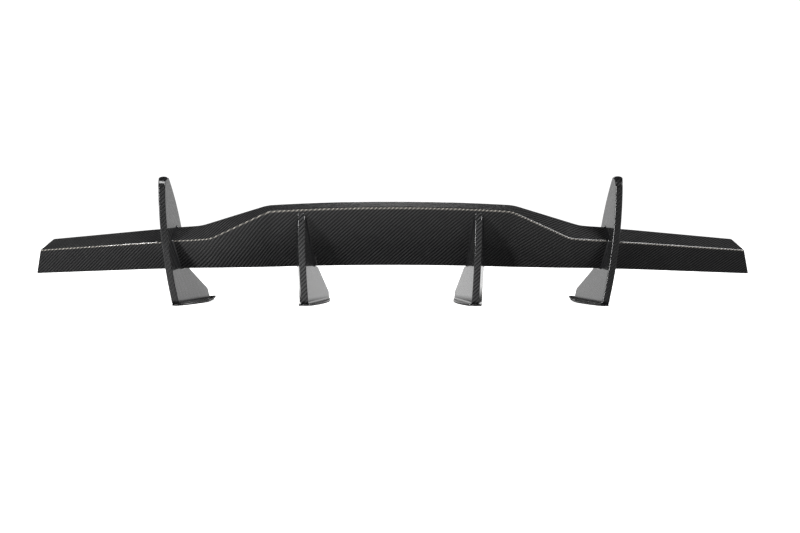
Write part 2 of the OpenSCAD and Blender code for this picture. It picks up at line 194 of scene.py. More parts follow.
def welded(points, faces, loop_normals):
    """Joins coinciding points, and drops faces without area and walls that meet in a closed ring."""
    _, first, joined = np.unique(np.round(points, 3), axis=0, return_index=True, return_inverse=True)
    joined = joined.ravel()
    normals = iter(loop_normals)
    kept = {}
    for face in faces:
        corners = [(joined[v], v, next(normals)) for v in face]
        corners = [c for i, c in enumerate(corners) if c[0] != corners[i - 1][0]]
        key = frozenset(c[0] for c in corners)
        if len(key) < 3:
            continue
        if key in kept:
            del kept[key]
        else:
            kept[key] = corners
    return first, list(kept.values())


def build(name, points, faces, loop_normals, uvs, chips_and_painted_light, material, replaced):
    """A piece from points in millimetres, with its own normals, cloth coordinates and edge marks for
    chips, painted shade and painted highlight.
    """
    first, kept = welded(points, faces, loop_normals)
    corners = [corner for face in kept for corner in face]
    mesh = bpy.data.meshes.new(name)
    placed = (points[first] - (0, MID_Y, 0)) * MM
    mesh.from_pydata(placed.tolist(), [], [[c[0] for c in face] for face in kept])
    layer = mesh.uv_layers.new(name="cloth")
    layer.data.foreach_set("uv", (np.array([uvs[c[1]] for c in corners]) * MM).ravel())
    chip_and_light_marks = mesh.attributes.new("chips_shade_highlight", "FLOAT", "POINT")
    chip_and_light_marks.data.foreach_set("value", np.asarray(chips_and_painted_light, float)[first])
    mesh.polygons.foreach_set("use_smooth", [True] * len(kept))
    mesh.normals_split_custom_set([tuple(c[2]) for c in corners])
    mesh.materials.append(material)
    piece = bpy.data.objects.new(name, mesh)
    bpy.context.scene.collection.objects.link(piece)
    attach(piece, "root")
    if replaced:
        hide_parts(*replaced)
    return piece


def shell(name, grid, uv, chips_and_painted_light, material, replaced=(), thickness=SKIN_T, normals=None):
    """A closed skin: a grid of points, the same grid drawn in, and strips round the border."""
    rows, cols = grid.shape[:2]
    normals = grid_normals(grid) if normals is None else normals
    depth = np.broadcast_to(thickness, (rows, cols))[..., None]
    points = np.vstack([grid.reshape(-1, 3), (grid - normals * depth).reshape(-1, 3)])
    out = normals.reshape(-1, 3)
    total = rows * cols
    faces, loop_normals = [], []
    for r in range(rows - 1):
        for c in range(cols - 1):
            a = r * cols + c
            q = [a, a + 1, a + cols + 1, a + cols]
            faces += [q, [k + total for k in reversed(q)]]
            loop_normals += [out[k] for k in q] + [-out[k] for k in reversed(q)]
    border = [(0, c) for c in range(cols)] + [(r, cols - 1) for r in range(1, rows)]
    border += [(rows - 1, c) for c in range(cols - 2, -1, -1)]
    border += [(r, 0) for r in range(rows - 2, 0, -1)]
    ids = [r * cols + c for r, c in border]
    for a, b in zip(ids, ids[1:] + ids[:1]):
        flat = np.cross(points[a + total] - points[a], points[b] - points[a])
        size = np.linalg.norm(flat)
        faces.append([a, a + total, b + total, b])
        loop_normals += [flat / size if size > 1e-9 else out[a]] * 4
    uvs = np.tile(uv.reshape(-1, 2), (2, 1))
    chips_and_painted_light = np.tile(chips_and_painted_light.ravel(), 2)
    return build(name, points, faces, loop_normals, uvs, chips_and_painted_light, material, replaced)


def toe_lift(y, lift):
    """How far a foot's flange has risen at y, and its slope there."""
    s = np.clip((y - LIFT_START) / LIFT_RUN, 0, None)
    return lift * s ** 2, 2 * lift * s / LIFT_RUN


def stack(name, rings, normals, end_normals, uvs, material, replaced, chips_and_painted_light=0.0):
    """A closed solid: rings that run counter-clockwise seen from the last one, and both ends filled."""
    levels, count = rings.shape[:2]
    out = normals.reshape(-1, 3)
    faces, loop_normals = [], []
    for k in range(levels - 1):
        for i in range(count):
            j = (i + 1) % count
            q = [k * count + i, k * count + j, (k + 1) * count + j, (k + 1) * count + i]
            faces.append(q)
            loop_normals += [out[w] for w in q]
    for base, way, flat in ((0, -1, end_normals[0]), ((levels - 1) * count, 1, end_normals[1])):
        for i in range((count - 1) // 2):
            strip = [i, i + 1, count - 2 - i, count - 1 - i]
            if strip[1] == strip[2]:
                strip = [strip[0], strip[1], strip[3]]
            faces.append([base + w for w in strip[::way]])
            loop_normals += [flat[w] for w in strip[::way]]
    chip_and_light_marks = np.full(levels * count, chips_and_painted_light)
    points = rings.reshape(-1, 3)
    return build(name, points, faces, loop_normals, uvs.reshape(-1, 2), chip_and_light_marks, material, replaced)


def plate(name, outline, z_low, z_high, bevel, material, replaced, lift):
    """A bevelled plate with an upswept toe. Its outline runs counter-clockwise from mid heel."""
    along = np.roll(outline, -1, axis=0) - np.roll(outline, 1, axis=0)
    outward = np.column_stack([along[:, 1], -along[:, 0]]) / np.linalg.norm(along, axis=1)[:, None]
    rise, slope = toe_lift(outline[:, 1], lift)
    # each ring's height, how far it is drawn in, and how far its normal tilts up
    levels = ((z_low, bevel, -1), (z_low + bevel, 0, -0.2), (z_high - bevel, 0, 0.3), (z_high, bevel, 3))
    rings, normals = [], []
    for z, inset, tilt in levels:
        rings.append(np.column_stack([outline - outward * inset, z + rise]))
        n = np.column_stack([outward[:, 0], outward[:, 1] - slope * tilt, np.full(len(outline), tilt)])
        normals.append(n / np.linalg.norm(n, axis=1)[:, None])
    top = np.column_stack([np.zeros(len(outline)), -slope, np.ones(len(outline))])
    top /= np.hypot(1, slope)[:, None]
    rings = np.array(rings)
    return stack(name, rings, np.array(normals), (-top, top), rings[..., :2], material, replaced)


# ---- materials ----

TOW = 0.002
TOW_DRIFT = 0.0022
# Painted sheen: the warp is painted light and the weft dark, standing in for how the black fibres catch
# the light. The weft colour also paints shade in the troughs of the weave.
WARP_SHEEN_COLOUR = (0.075, 0.075, 0.076, 1)
WEFT_AND_TROUGH_SHADE_COLOUR = (0.0012, 0.0012, 0.0014, 1)
# Dark resin between fibres. This colour also paints shade along the outer uprights' rear edges.
RESIN_AND_SHADE_COLOUR = (0.004, 0.004, 0.0045, 1)
PATCH_COLOUR = (0.012, 0.012, 0.013, 1)
CHIP_COLOUR = (0.12, 0.12, 0.125, 1)
# Painted highlight along the blade's trailing edge, in dashes that follow the weave.
NOSE_HIGHLIGHT_COLOUR = (0.50, 0.47, 0.42, 1)


class Nodes:
    """Short calls for building the node tree of a material or a world."""

    def __init__(self, owner):
        owner.use_nodes = True
        self.owner = owner
        self.tree = owner.node_tree
        self.shader = self.tree.nodes.get("Principled BSDF")

    def add(self, kind, **settings):
        node = self.tree.nodes.new(kind)
        for key, value in settings.items():
            setattr(node, key, value)
        return node

    def put(self, socket, value):
        if isinstance(value, bpy.types.NodeSocket):
            self.tree.links.new(value, socket)
        else:
            socket.default_value = value

    def math(self, operation, *values):
        node = self.add("ShaderNodeMath", operation=operation)
        for socket, value in zip(node.inputs, values):
            self.put(socket, value)
        return node.outputs[0]

    def mix(self, factor, a, b):
        node = self.add("ShaderNodeMix", data_type="RGBA")
        for name, value in (("Factor", factor), ("A", a), ("B", b)):
            socket = [s for s in node.inputs if s.name == name and s.enabled][0]
            self.put(socket, value)
        return [s for s in node.outputs if s.enabled][0]

    def noise(self, vector, scale, detail, roughness=0.5):
        node = self.add("ShaderNodeTexNoise")
        self.put(node.inputs["Vector"], vector)
        for name, value in (("Scale", scale), ("Detail", detail), ("Roughness", roughness)):
            node.inputs[name].default_value = value
        return node.outputs["Fac"]

    def remap(self, value, low, high, to_low, to_high):
        node = self.add("ShaderNodeMapRange")
        for socket, v in zip(node.inputs, (value, low, high, to_low, to_high)):
            self.put(socket, v)
        return node.outputs[0]

    def bump(self, height, distance, strength=1.0, socket="Normal"):
        node = self.add("ShaderNodeBump")
        node.inputs["Distance"].default_value = distance
        node.inputs["Strength"].default_value = strength
        self.put(node.inputs["Height"], height)
        self.put(self.shader.inputs[socket], node.outputs["Normal"])

    def shade(self, **values):
        for name, value in values.items():
            self.put(self.shader.inputs[name.replace("_", " ")], value)


def carbon_material(name):
    """Clear-coated 2x2 twill: each tow floats over two others, and each row steps along by one.

    The edge-mark attribute falls to -1 for painted shade at the full dark resin colour. It is 0 on plain
    cloth, 1 on chipped edges, and 2 where a painted highlight runs along the blade's trailing edge.
    """
    n = Nodes(bpy.data.materials.new(name))
    cloth = n.add("ShaderNodeUVMap", uv_map="cloth").outputs["UV"]
    split = n.add("ShaderNodeSeparateXYZ")
    n.put(split.inputs[0], cloth)
    drift = n.math("MULTIPLY", n.math("SUBTRACT", n.noise(cloth, 14, 1), 0.5), TOW_DRIFT)
    u = n.math("DIVIDE", n.math("ADD", split.outputs["X"], drift), TOW)
    v = n.math("DIVIDE", n.math("ADD", split.outputs["Y"], drift), TOW)
    across_u, across_v = n.math("FRACT", u), n.math("FRACT", v)
    step = n.math("FLOORED_MODULO", n.math("ADD", n.math("FLOOR", u), n.math("FLOOR", v)), 4)
    warp_up = n.math("LESS_THAN", step, 1.5)
    weft_up = n.math("SUBTRACT", 1, warp_up)

    def choose(warp, weft):
        return n.math("ADD", n.math("MULTIPLY", warp_up, warp), n.math("MULTIPLY", weft_up, weft))

    across = choose(across_u, across_v)
    second_half = n.math("FLOORED_MODULO", step, 2)
    along = n.math("DIVIDE", n.math("ADD", choose(across_v, across_u), second_half), 2)
    crown = n.math("SINE", n.math("MULTIPLY", across, math.pi))
    arch = n.math("SINE", n.math("MULTIPLY", along, math.pi))
    arched = n.math("POWER", n.math("MAXIMUM", arch, 0), 0.5)
    height = n.math("MULTIPLY", n.math("POWER", crown, 0.6), arched)

    def fibre_streaks(scale):
        stretched = n.add("ShaderNodeMapping")
        n.put(stretched.inputs["Vector"], cloth)
        stretched.inputs["Scale"].default_value = scale
        return n.noise(stretched.outputs[0], 1, 1)

    streak = choose(fibre_streaks((6000, 300, 1)), fibre_streaks((300, 6000, 1)))

    # Painted sheen and shade: light warp over dark weft, with the troughs between tow crowns painted dark.
    tow_sheen = n.mix(warp_up, WEFT_AND_TROUGH_SHADE_COLOUR, WARP_SHEEN_COLOUR)
    trough_shade = n.mix(n.remap(height, 0.05, 0.5, 0, 1), WEFT_AND_TROUGH_SHADE_COLOUR, tow_sheen)
    patchy = n.remap(n.noise(cloth, 38, 3), 0.3, 0.7, 0, 0.35)
    fibres = n.mix(n.math("MULTIPLY", streak, 0.5), trough_shade, RESIN_AND_SHADE_COLOUR)
    colour = n.mix(patchy, fibres, PATCH_COLOUR)

    chip_and_light_marks = n.add("ShaderNodeAttribute", attribute_name="chips_shade_highlight").outputs["Fac"]
    # Painted shade: below 0 the edge marks mix the colour towards dark resin, as on the outer uprights'
    # rear edges.
    colour = n.mix(n.remap(chip_and_light_marks, -1.0, 0.0, 1, 0), colour, RESIN_AND_SHADE_COLOUR)
    chips = n.remap(n.noise(cloth, 900, 5, 0.65), 0.66, 0.72, 0, 1)
    edge = n.math("MINIMUM", n.math("MAXIMUM", chip_and_light_marks, 0), 1)
    chips = n.math("MULTIPLY", n.math("MULTIPLY", edge, chips), 0.5)
    colour = n.mix(chips, colour, CHIP_COLOUR)
    # Painted highlight: where the edge marks reach 2, along the blade's trailing edge, tow crowns are
    # painted a light warm colour in dashes that follow the weave.
    nose_highlight = n.math("MULTIPLY", n.remap(chip_and_light_marks, 1.6, 1.95, 0, 1), n.remap(height, 0.3, 0.7, 0, 1))
    nose_highlight = n.math("MULTIPLY", nose_highlight, n.remap(warp_up, 0, 1, 0.25, 1))
    colour = n.mix(nose_highlight, colour, NOSE_HIGHLIGHT_COLOUR)
    rough = n.math("ADD", n.remap(streak, 0.2, 0.8, 0.32, 0.52), n.math("MULTIPLY", chips, 0.3))
    n.shade(Base_Color=colour, Roughness=rough, Metallic=0.0, Anisotropic=0.55, Specular_IOR_Level=0.12)
    n.put(n.shader.inputs["Anisotropic Rotation"], n.math("MULTIPLY", weft_up, 0.25))
    tangent = n.add("ShaderNodeTangent", direction_type="UV_MAP", uv_map="cloth")
    n.put(n.shader.inputs["Tangent"], tangent.outputs[0])
    n.shade(Coat_Weight=1.0, Coat_Roughness=0.03, Coat_IOR=1.5)
    n.bump(height, 0.00035, 0.7)
    n.bump(height, 0.00004, 0.15, "Coat Normal")
    return n.owner


def grained_material(
    name, colour, dark, scale, roughness, metallic=0.0, bump=0.0002, coat=0.0, stretch=(1, 1, 1)
):
    """A plain stuff with a grain of its own: noise in its colour, roughness and surface."""
    n = Nodes(bpy.data.materials.new(name))
    place = n.add("ShaderNodeMapping")
    n.put(place.inputs["Vector"], n.add("ShaderNodeTexCoord").outputs["Object"])
    place.inputs["Scale"].default_value = stretch
    grain = n.noise(place.outputs[0], scale, 6, 0.6)
    broad = n.noise(place.outputs[0], scale / 18, 2)
    tone = n.math("MULTIPLY", n.math("ADD", grain, broad), 0.5)
    n.shade(
        Base_Color=n.mix(n.remap(tone, 0.35, 0.65, 0, 1), (*dark, 1), (*colour, 1)),
        Roughness=n.remap(grain, 0.3, 0.7, roughness - 0.08, roughness + 0.12),
        Metallic=metallic,
        Coat_Weight=coat,
    )
    n.bump(grain, bump)
    return n.owner


carbon = carbon_material("carbon_twill")
resin = grained_material(
    "bond_resin", (0.012, 0.012, 0.013), (0.006, 0.006, 0.007), 900, 0.3, bump=0.00006, coat=1.0
)
rubber = grained_material("gasket_rubber", (0.022, 0.022, 0.022), (0.012, 0.012, 0.012), 2600, 0.6)
foam = grained_material("core_foam", (0.72, 0.62, 0.42), (0.55, 0.46, 0.30), 1400, 0.8)
rib = grained_material("rib_board", (0.05, 0.05, 0.052), (0.03, 0.03, 0.032), 1200, 0.55)
aluminium = grained_material(
    "milled_aluminium", (0.62, 0.63, 0.65), (0.5, 0.51, 0.53), 900, 0.35, 1.0, 0.00003, stretch=(1, 12, 1)
)
steel = grained_material(
    "zinc_steel", (0.48, 0.48, 0.5), (0.36, 0.37, 0.39), 1500, 0.32, 1.0, 0.00003
)
CAD_FINISHES = {
    "carbon": carbon,
    "rubber": rubber,
    "foam": foam,
    "rib": rib,
    "aluminium": aluminium,
    "steel": steel,
}

# ---- the blade ----


def sweep(x):
    """How far ahead of the blade's middle its trailing edge lies."""
    return SWEEP_SLOPE * ramp(x - SWEEP_MID, SWEEP_BLEND)


def crowned(x, half):
    """How far the crown has fallen at x. It stops falling where x reaches half."""
    return CROWN * (np.minimum(x, half) / half) ** 2


def edge_height(x):
    """Height of the trailing edge."""
    shoulder = ramp(x - CENTRE_HALF, CORNER) - ramp(x - SHOULDER_HALF, CORNER)
    arm = ramp(x - SHOULDER_HALF, CORNER)
    return EDGE_Z - crowned(x, CENTRE_HALF) - EDGE_SHOULDER_FALL * shoulder - EDGE_ARM_FALL * arm


def crest_height(x):
    """Height of the crest."""
    shoulder = ramp(x - CREST_SHOULDER, CORNER) - ramp(x - CREST_ARM, CORNER)
    arm = ramp(x - CREST_ARM, CORNER)
    return CREST_Z - crowned(x, CREST_SHOULDER) - CREST_SHOULDER_FALL * shoulder - CREST_ARM_FALL * arm


def low_height(x):
    """Height of the rear face's lowest edge."""
    crown = LOW_CROWN * (np.minimum(x, CENTRE_HALF) / CENTRE_HALF) ** 2
    steepening = (LOW_ARM_FALL - LOW_SHOULDER_FALL) * ramp(x - LOW_BREAK, CORNER)
    return LOW_Z - crown - LOW_SHOULDER_FALL * ramp(x - CENTRE_HALF, CORNER) - steepening


def face_y(x, z):
    """Depth of the rear face, which leans forwards as it goes down."""
    lean = np.interp(x, (CENTRE_HALF, SHOULDER_HALF), (FACE_LEAN, ARM_LEAN))
    return sweep(x) + lean * (edge_height(x) - z)


ARC_STEPS = 7
HALF_ARC = ARC_STEPS // 2
SECTION_RADII = (2.6, 2.4, 12, 14, 90, 12, 7)
SECTION_PIECES = (14, 3, 3, 6, 6, 3, 5)
TE, LOW, SEAM = (sum(ARC_STEPS + p - 1 for p in SECTION_PIECES[:k]) for k in (0, 1, 3))


def section(x):
    """The blade's section at x, in (y, z), from mid trailing edge down the rear face and right round."""
    te = np.array([sweep(x), edge_height(x)])
    low = np.array([face_y(x, low_height(x)), low_height(x)])
    crest = np.array([sweep(x) + CREST_Y, crest_height(x)])
    front_top = crest + FRONT_TOP
    front_low = low + FRONT_LOW
    bulge = (front_low + front_top) / 2 + FRONT_BULGE
    corners = [te, low, low + LOW_FLAT, front_low, bulge, front_top, crest]
    outline = np.roll(rounded(corners, SECTION_RADII, SECTION_PIECES, ARC_STEPS), -HALF_ARC, axis=0)
    return np.vstack([outline, outline[:1]]), te


def blade_row(x):
    """The section placed at x, and leaned into the plane of the slanted tip beyond the tip rib."""
    outline, te = section(x)
    lean = (outline - te) @ TIP_PLANE * max(0, (x - TIP_RIB_X) / (TIP_HALF - TIP_RIB_X))
    return np.column_stack([x + lean, outline])


def bow_shift(kind, z):
    """How far an upright's bow carries it inboard at a height, as a negative x."""
    return np.sqrt(kind["bow_r"] ** 2 - (z - kind["top_z"]) ** 2) - kind["bow_r"]


def outboard_face(kind, y, z):
    """X of an upright's outboard face: it flares outwards to TURN_Y, and then turns back in."""
    bow = bow_shift(kind, z)
    edge_x = kind["x"] + EDGE_HALF
    flared = edge_x + bow / math.cos(FLARE) + y * math.tan(FLARE)
    turned = edge_x + TURN_Y * math.tan(FLARE) + bow / math.cos(TURN) - (y - TURN_Y) * math.tan(TURN)
    return flared - ramp(flared - turned, TURN_BLEND)


def inboard_face(kind, y, z):
    """X of an upright's inboard face, which flares all the way."""
    return kind["x"] - EDGE_HALF + bow_shift(kind, z) / math.cos(FLARE) - y * math.tan(FLARE)


def mirrored(grid):
    """The same grid on the other side, with its rows turned round so that it still faces outwards."""
    return grid[::-1] * (-1, 1, 1)


# How far down the face the cloth's middle line runs, and how the cloth lies along the span: its turn
# from the span, its length, its rise and its tightness.
CLOTH_MIDDLE = 60
along_x = np.linspace(0, 760, 381)
cloth_turn = np.radians(np.interp(along_x, (210, 250, 341, 400), (0, 8, 8, 3)))
cloth_length = np.concatenate([[0], np.cumsum(np.hypot(np.diff(along_x), np.diff(sweep(along_x))))])
cloth_rise = np.concatenate([[0], np.cumsum(np.sin(cloth_turn[1:]) * np.diff(along_x))])
cloth_tight = np.interp(along_x, (341, 401), (1, 1.2))


def blade_uv(grid, on_top):
    """Cloth coordinates: along the span, and down the face from about its middle."""
    step = np.linalg.norm(np.diff(grid, axis=1), axis=2)
    down = np.concatenate([np.zeros((len(grid), 1)), np.cumsum(step, axis=1)], axis=1)
    if on_top:
        down -= down[:, -1:]
    x = grid[..., 0]
    ahead = np.abs(x)
    level = down + (EDGE_Z - edge_height(ahead)) * math.hypot(1, FACE_LEAN) - CLOTH_MIDDLE
    turn = np.interp(ahead, along_x, cloth_turn)
    u = np.sign(x) * (np.interp(ahead, along_x, cloth_length) + np.sin(turn) * level)
    v = np.cos(turn) * level - np.interp(ahead, along_x, cloth_rise)
    v = v * np.interp(ahead, along_x, cloth_tight)
    return np.stack([u, v], axis=2)


def blade_panels(name, grid, rear_node, top_node):
    """The rear and top skins of one length of the blade, which share their normals along both seams."""
    lapped = np.concatenate([grid[:, -2:-1], grid, grid[:, 1:2]], axis=1)
    normals = grid_normals(lapped)[:, 1:-1]
    chips_and_painted_light = np.zeros(grid.shape[:2])
    for column in (TE, LOW, grid.shape[1] - 1):
        chips_and_painted_light[:, max(0, column - HALF_ARC):column + HALF_ARC + 1] = 1
    # Painted highlight: 2 marks the trailing edge's arc, which the material paints light in dashes.
    chips_and_painted_light[:, :HALF_ARC + 1] = 2
    for part, cut, node in (("rear", slice(0, SEAM + 1), rear_node), ("top", slice(SEAM, None), top_node)):
        uv = blade_uv(grid, part == "top")
        piece = grid[:, cut], uv[:, cut], chips_and_painted_light[:, cut]
        shell(f"{name}_{part}_panel", *piece, carbon, [node], normals=normals[:, cut])


CENTRE_STATIONS = ((0, 215, 22), (219, 251, 17), (256, 328, 10), (331, 385, 28))
TIP_STATIONS = (474, TIP_HALF - 2, 45)
centre_xs = np.concatenate([np.linspace(*stretch) for stretch in CENTRE_STATIONS])
centre_rows = [blade_row(x) for x in centre_xs]
end_row = blade_row(CENTRE_END_X)
end_row[:, 0] = inboard_face(OUTER, end_row[:, 1], end_row[:, 2]) + SUNK
right_rows = np.array(centre_rows + [end_row])
centre_grid = np.concatenate([mirrored(right_rows)[:-1], right_rows])
blade_panels("centre", centre_grid, "centre_rear_skin", "centre_top_skin")

root_row = blade_row(TIP_ROOT_X)
root_row[:, 0] = outboard_face(OUTER, root_row[:, 1], root_row[:, 2]) - SUNK
tip_rows = np.array([root_row] + [blade_row(x) for x in np.linspace(*TIP_STATIONS)])

# each ring's share of the way to the cap's middle, and how far it stands out
CAP_RINGS = (
    (0, 0), (0.004, 0.6), (0.015, 1.3), (0.04, 1.8), (0.12, 2.0), (0.4, 2.1), (0.75, 2.15), (0.97, 2.15)
)


def end_cap(name, row, node, sign):
    """The tip's closing rib: rings that round over from the skins' edge to a slightly domed middle."""
    ring = row[:-1]
    middle = ring.mean(axis=0)
    rings = np.array([ring + (middle - ring) * inset + (out, 0, 0) for inset, out in CAP_RINGS])
    lapped = np.concatenate([rings[:, -1:], rings, rings[:, :1]], axis=1)
    normals = grid_normals(lapped)[:, 1:-1]
    if sign < 0:
        rings, normals = (a[:, ::-1] * (-1, 1, 1) for a in (rings, normals))
    flat = np.tile((sign, 0, 0), (len(ring), 1))
    uvs = rings[..., 1:] * (1, -1)
    stack(name, rings, normals, (-flat, flat), uvs, carbon, [node], chips_and_painted_light=1.0)


for side, sign in SIDES:
    tip_grid = tip_rows if sign > 0 else mirrored(tip_rows)
    blade_panels(f"{side}_tip", tip_grid, f"{side}_tip_rear_skin", f"{side}_tip_top_skin")
    end_cap(f"{side}_tip_cap", tip_rows[-1], f"{side}_tip_end_cap", sign)

# ---- the uprights ----

ROUND_ANGLES = np.radians((0, 15, 32, 50, 70, 90))
RIM = ((0, 0), (1, 1))  # pads a grid with one column on each side


def outline_chains(front, rear, levels):
    """Rear and front y of an upright at each level."""
    front, rear = np.array(front), np.array(rear)
    return np.interp(levels, rear[:, 1], rear[:, 0]), np.interp(levels, front[:, 1], front[:, 0])


def arc_points(centre, r, start, stop, steps):
    """Points along an arc, with its angles in degrees."""
    angles = np.radians(np.linspace(start, stop, steps))
    return [np.array([centre[0] + r * math.cos(a), centre[1] + r * math.sin(a)]) for a in angles]


# Outlines in (y, z): each front and rear runs from the foot up to the top.
outer_front = [(REACH, FOOT_Z), (REACH, 20)]
outer_front += round_corner((REACH, 10), (REACH, 26), (88, 73), 8, 6)
outer_front += round_corner((REACH, 26), (88, 73), (86, 100), 30, 9)
outer_front += [p for p in bowed((88, 73), (23, 242), 20, 30) if p[1] > 92]
outer_front += [(18.5, OUTER_TOP)]
outer_rear = [(5, FOOT_Z)] + arc_points((6, 9.2), 6, 250, 180, 8) + [(0, 60), (0, 222)]
outer_rear += arc_points((25, 222), 25, 178, 105, 18) + [(18.5, OUTER_TOP)]

inner_front = [(REACH, FOOT_Z), (REACH, 15)]
inner_front += round_corner((REACH, 5), (REACH, 20), (99, 72), 8, 6)
under = float(low_height(INNER["x"] + 22)) - 1.5
inner_front += [(99, under), (67.4, under + 3.9), (4.7, INNER_TOP)]
inner_rear = [(5, FOOT_Z)] + arc_points((6, 9.2), 6, 250, 180, 8) + [(0, 60), (0, 158)]
inner_rear += arc_points((18, 158), 18, 178, 140, 12) + [(4.1, INNER_TOP)]


def levels_between(low, high, breaks):
    """Heights for an upright's rows: even, plus the outline's corners and a fine start and finish."""
    fine_low = low + np.array([0, 0.4, 1.1, 2, 3.2, 4.6, 6, 8, 11])
    fine_high = high - np.array([0, 0.15, 0.4, 0.8, 1.5, 2.5, 4, 6, 9])
    even = np.arange(low + 14, high - 10, 4.0)
    return np.unique(np.round(np.concatenate([fine_low, fine_high, even, breaks]), 3))


def distance_to(chain, y, z):
    """Distance from points to an open outline."""
    best = np.full(y.shape, 1e9)
    for (y0, z0), (y1, z1) in zip(chain[:-1], chain[1:]):
        dy, dz = y1 - y0, z1 - z0
        s = np.clip(((y - y0) * dy + (z - z0) * dz) / max(dy * dy + dz * dz, 1e-9), 0, 1)
        best = np.minimum(best, np.hypot(y - y0 - s * dy, z - z0 - s * dz))
    return best


def upright_halves(name, kind, front, rear, levels, foot):
    """Both skins of an upright on both sides, rounded at the rim and swept out into its foot."""
    fillet = FILLET[name]
    y_rear, y_front = outline_chains(front, rear, levels)
    width = y_front - y_rear
    slope = np.abs(np.gradient(y_front, levels))
    stretch = np.clip(np.hypot(1, slope), 1, 4)
    ring = ROUND * (1 - np.cos(ROUND_ANGLES))
    rows = []
    for y0, y1, w, k in zip(y_rear, y_front, width, stretch):
        fit = min(1, RIM_SHARE * w / (ROUND * k)) if w > 0 else 0
        near, far = y0 + ring * fit, y1 - ring[::-1] * k * fit
        rows.append(np.concatenate([near, np.linspace(near[-1], far[0], FACE_COLUMNS)[1:-1], far]))
    y = np.array(rows)
    z = np.repeat(levels[:, None], y.shape[1], axis=1)
    d = distance_to([tuple(p) for p in rear] + [tuple(p) for p in reversed(front)], y, z)
    inside = np.clip(ROUND - d, 0, ROUND)
    drop = ROUND - np.sqrt(ROUND ** 2 - inside ** 2)
    low = np.clip(fillet - (z - FOOT_Z), 0, fillet)
    flare_out = fillet - np.sqrt(fillet ** 2 - low ** 2)
    dome = np.sqrt(1 - (1 - np.clip((levels[-1] - z) / DOME[name], 0, 1)) ** 2)
    middle = (outboard_face(kind, y, z) + inboard_face(kind, y, z)) / 2
    for half, direction in (("outboard", 1), ("inboard", -1)):
        face = outboard_face(kind, y, z) if direction > 0 else inboard_face(kind, y, z)
        room = np.clip(direction * (foot_edge(foot, y, direction) - face) - FOOT_MARGIN, 0, fillet)
        x = face - direction * drop + direction * np.minimum(flare_out, room)
        x = middle + (x - middle) * dome
        x = np.concatenate([middle[:, :1], x, middle[:, -1:]], axis=1)
        grid = np.stack([x, np.pad(y, RIM, mode="edge"), np.pad(z, RIM, mode="edge")], axis=2)
        step = np.linalg.norm(np.diff(grid, axis=1), axis=2)
        run = np.concatenate([np.zeros((len(grid), 1)), np.cumsum(step, axis=1)], axis=1)
        chips_and_painted_light = np.pad(np.clip(drop / ROUND * 1.5, 0, 1), RIM)
        chips_and_painted_light[-1] = 1
        # Painted shade: the outer uprights' rear edges are capped at -0.75, which darkens them most of the
        # way to resin.
        chips_and_painted_light[:, :REAR_EDGE_SHADE_COLUMNS] = np.minimum(chips_and_painted_light[:, :REAR_EDGE_SHADE_COLUMNS], REAR_EDGE_SHADE[name])
        thick = SKIN_T * np.clip(width / FULL_SKIN_WIDTH, 0.05, 1)[:, None]
        thick = np.broadcast_to(thick, grid.shape[:2])
        for side, sign in SIDES:
            placed = grid * (sign, 1, 1)
            uv = np.stack([direction * sign * run, -grid[..., 2]], axis=2)
            parts = [placed, uv, chips_and_painted_light, thick]
            if direction * sign < 0:
                parts = [p[:, ::-1] for p in parts]
            node = f"{name}_{side}_{half}_skin"
            shell(f"{name}_{side}_{half}_half", *parts[:3], carbon, [node], thickness=parts[3])


def foot_outline(kind, out_w, in_w, point, toe_y):
    """Plan of a foot on the right side: round heel, a long bow outboard and one inboard to the point."""
    x = kind["x"] + bow_shift(kind, 0)
    out_side = bowed((x + EDGE_HALF + out_w, 2), (x + out_w - 1, REACH), 9, 40)
    in_side = bowed((x + point, toe_y), (x - EDGE_HALF - in_w, 6), 9, 40)
    heel = arc_points((x, EDGE_HALF), EDGE_HALF, 195, 345, 14)
    toe = [np.array([x + point + 8, REACH + 6])]
    return np.array(heel[7:] + out_side + toe + in_side + heel[:7]), out_side, in_side[::-1]


def foot_edge(foot, y, direction):
    """X of a foot's outboard or inboard border at y."""
    chain = np.array(foot[1] if direction > 0 else foot[2])
    return np.interp(y, chain[:, 1], chain[:, 0])


outer_foot = foot_outline(OUTER, out_w=1, in_w=2, point=-41, toe_y=REACH + 15)
inner_foot = foot_outline(INNER, out_w=5, in_w=6, point=-34, toe_y=REACH + 6)
UPRIGHTS = {
    "outer": (OUTER, outer_front, outer_rear, outer_foot, OUTER_TOP),
    "inner": (INNER, inner_front, inner_rear, inner_foot, INNER_TOP),
}
for name, (kind, front, rear, foot, top) in UPRIGHTS.items():
    corners = [p[1] for p in front if p[1] > FOOT_Z + 1]
    levels = levels_between(FOOT_Z, top, [c for c in corners if c < top - 9])
    upright_halves(name, kind, front, rear, levels, foot)
    for side, sign in SIDES:
        outline = foot[0] if sign > 0 else (foot[0] * (-1, 1))[::-1]
        upright, lift = f"{name}_{side}", FOOT_LIFT[name]
        flange, gasket = [f"{upright}_flange"], [f"{upright}_gasket"]
        plate(f"{upright}_foot", outline, GASKET_T, FOOT_Z, FOOT_BEVEL, carbon, flange, lift)
        plate(f"{upright}_seal", outline, 0.0, GASKET_T, GASKET_BEVEL, rubber, gasket, lift)

# ---- beads of resin where the blade meets the uprights ----

BEAD_ANGLES = np.radians(np.linspace(0, 90, 7))


